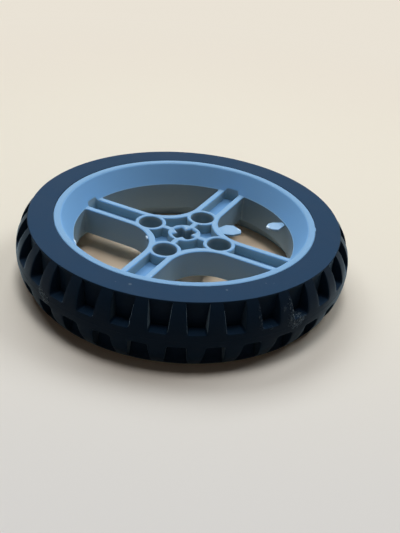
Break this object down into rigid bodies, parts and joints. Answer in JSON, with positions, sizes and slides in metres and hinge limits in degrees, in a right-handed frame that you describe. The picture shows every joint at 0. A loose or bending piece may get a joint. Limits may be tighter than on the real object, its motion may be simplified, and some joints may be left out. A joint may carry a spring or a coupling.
{
  "type": "robot wheel",
  "caption": "Narrow robot wheel: a pale blue spoked plastic rim with pin holes and a cross-shaped axle hole, in a black rubber tyre with staggered tread slots.",
  "frame": {"origin": "middle of the wheel's width on its axle axis", "axes": "+Z along the axle, out of the face with the deeper dish; +X and +Y along two neighbouring spokes. The wheel lies on its side, as in the picture"},
  "size_m": [0.0674, 0.0674, 0.0132],
  "materials": {
    "rim_plastic": "moulded, satin gloss, pale blue",
    "tyre_rubber": "matt black moulded rubber"
  },
  "bodies": {
    "root": {"rim": "rim_plastic", "tyre": "tyre_rubber"}
  },
  "joints": []
}
